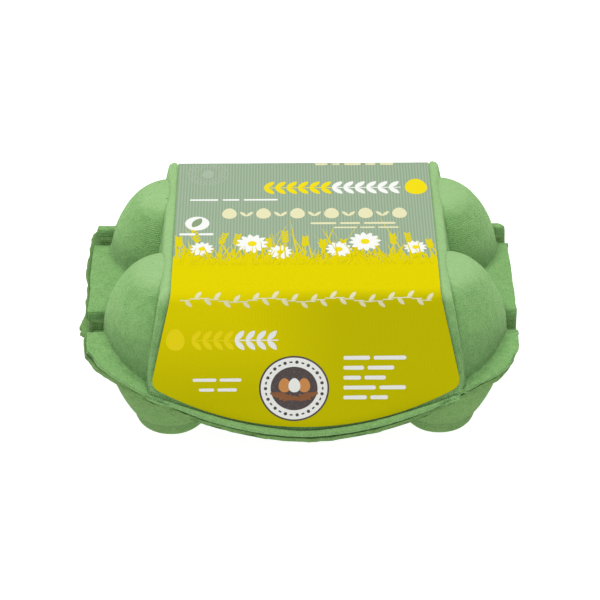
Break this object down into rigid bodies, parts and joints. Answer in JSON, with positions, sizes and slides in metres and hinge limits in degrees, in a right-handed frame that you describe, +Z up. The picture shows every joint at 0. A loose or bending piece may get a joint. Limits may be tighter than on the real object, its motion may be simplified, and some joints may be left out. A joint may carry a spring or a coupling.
{
  "type": "egg carton",
  "caption": "Shut moulded-pulp egg carton with rounded domes at its ends, a curved rim and a paper label wrapped over its raised middle.",
  "frame": {"origin": "middle of the carton's outline on the surface that its cups stand on", "axes": "+X along the carton's length, +Y from the front to the hinge at the back, +Z up"},
  "size_m": [0.15, 0.105, 0.0662],
  "materials": {
    "pulp": "matt green moulded pulp, slightly fuzzy, with darker and paler flecks",
    "paper": "satin printed paper, grey-green above and yellow below"
  },
  "bodies": {
    "root": {"carton": "pulp", "label": "paper"}
  },
  "joints": []
}
